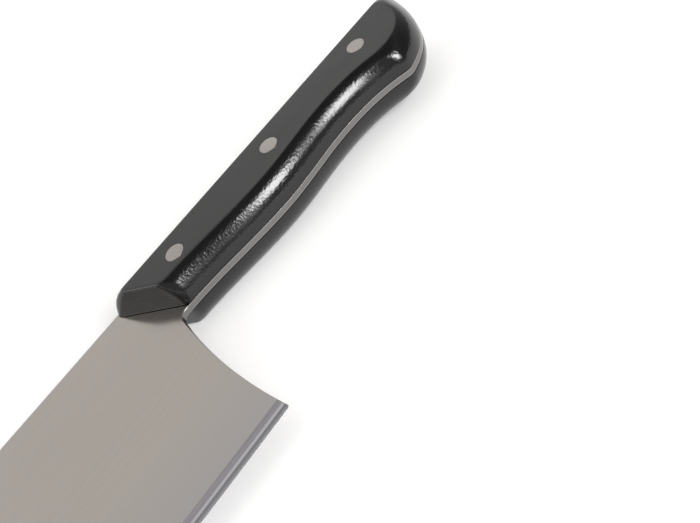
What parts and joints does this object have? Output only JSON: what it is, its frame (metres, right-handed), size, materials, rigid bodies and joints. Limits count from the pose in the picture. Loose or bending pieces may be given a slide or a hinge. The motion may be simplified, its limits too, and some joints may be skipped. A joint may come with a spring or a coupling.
{
  "type": "slicing cleaver",
  "caption": "Full-tang slicing cleaver: tall thin blade with a rounded front spine corner, gently bowed edge and hollow heel, and a beaked grip of riveted scales.",
  "frame": {"origin": "centre of the whole knife, on the middle plane of the steel", "axes": "handle end to +X, front end of the blade to -X, spine to +Y, cutting edge to -Y, broad faces to +Z and -Z"},
  "size_m": [0.3105, 0.075, 0.019],
  "materials": {
    "blade_steel": "finely ground satin, polished on the bevels",
    "scale_plastic": "glossy moulded black",
    "rivet_metal": "ground flush and satin"
  },
  "bodies": {
    "root": {"blade": "blade_steel", "scale_right": "scale_plastic", "scale_left": "scale_plastic", "front_rivet_sleeve": "rivet_metal", "front_rivet_pin": "rivet_metal", "middle_rivet_sleeve": "rivet_metal", "middle_rivet_pin": "rivet_metal", "rear_rivet_sleeve": "rivet_metal", "rear_rivet_pin": "rivet_metal"}
  },
  "joints": []
}
